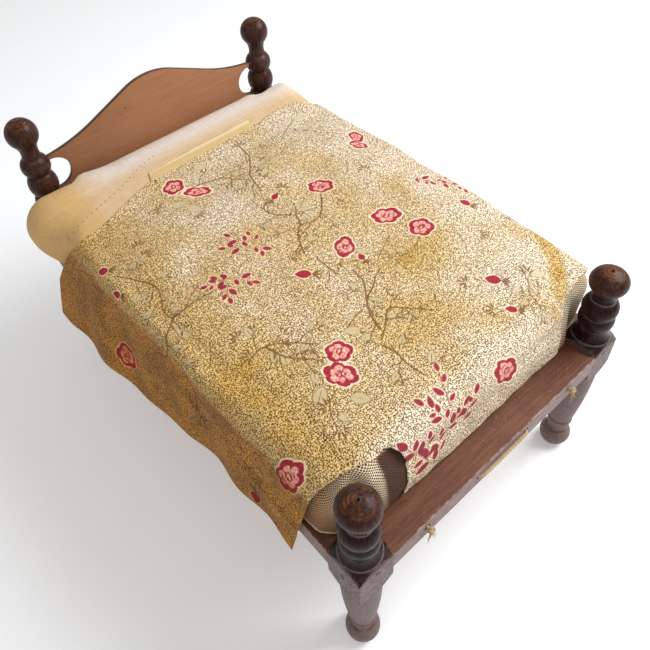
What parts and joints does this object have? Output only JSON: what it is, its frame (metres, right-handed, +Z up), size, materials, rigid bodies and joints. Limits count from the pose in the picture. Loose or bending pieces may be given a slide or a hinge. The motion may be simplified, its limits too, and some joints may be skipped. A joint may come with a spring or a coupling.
{
  "type": "doll's rope bed with bedding",
  "caption": "Low-post doll's bed with turned ball-topped posts, shaped headboard, laced bed cords, checked mattress, linen bolster and printed rose coverlet.",
  "frame": {"origin": "on the floor, midway between the four posts", "axes": "+Y towards the head of the bed, +Z up, +X across the bed to the right when looking from the foot to the head"},
  "size_m": [0.3184, 0.4499, 0.2826],
  "materials": {
    "post_wood": "dark red-brown stain with a worn soft shine",
    "rail_wood": "dark red-brown stain, scratched and dusty",
    "headboard_wood": "thin board, lighter red-brown with soft grain",
    "peg_wood": "unstained end grain, darkened with age",
    "cord_hemp": "twisted tan hemp",
    "tick_homespun": "coarse cream and dark brown check homespun",
    "tick_filling": "loose straw or wadding",
    "bolster_linen": "fine pinkish beige linen, golden where aged",
    "bolster_wadding": "loose wadding",
    "coverlet_print": "block-printed cotton, crimson roses on a brown vermicelli ground"
  },
  "bodies": {
    "bedstead": {"foot_post_left": "post_wood", "foot_post_right": "post_wood", "head_post_left": "post_wood", "head_post_right": "post_wood", "foot_rail": "rail_wood", "head_rail": "rail_wood", "side_rail_left": "rail_wood", "side_rail_right": "rail_wood", "headboard": "headboard_wood", "end_rail_pegs": "peg_wood", "side_rail_pegs": "peg_wood", "lengthwise_cord": "cord_hemp", "crosswise_cord": "cord_hemp", "lengthwise_cord_knots": "cord_hemp", "crosswise_cord_knots": "cord_hemp"},
    "mattress": {"mattress_tick": "tick_homespun", "mattress_filling": "tick_filling"},
    "bolster": {"bolster_case": "bolster_linen", "bolster_filling": "bolster_wadding"},
    "coverlet": {"coverlet": "coverlet_print"}
  },
  "joints": [
    {"name": "mattress_lift", "type": "slide", "parent": "bedstead", "child": "mattress", "axis": [0, 0, 1], "range_m": [0, 0.12]},
    {"name": "bolster_lift", "type": "slide", "parent": "mattress", "child": "bolster", "axis": [0, 0, 1], "range_m": [0, 0.12]},
    {"name": "coverlet_lift", "type": "slide", "parent": "bolster", "child": "coverlet", "axis": [0, 0, 1], "range_m": [0, 0.15]}
  ]
}
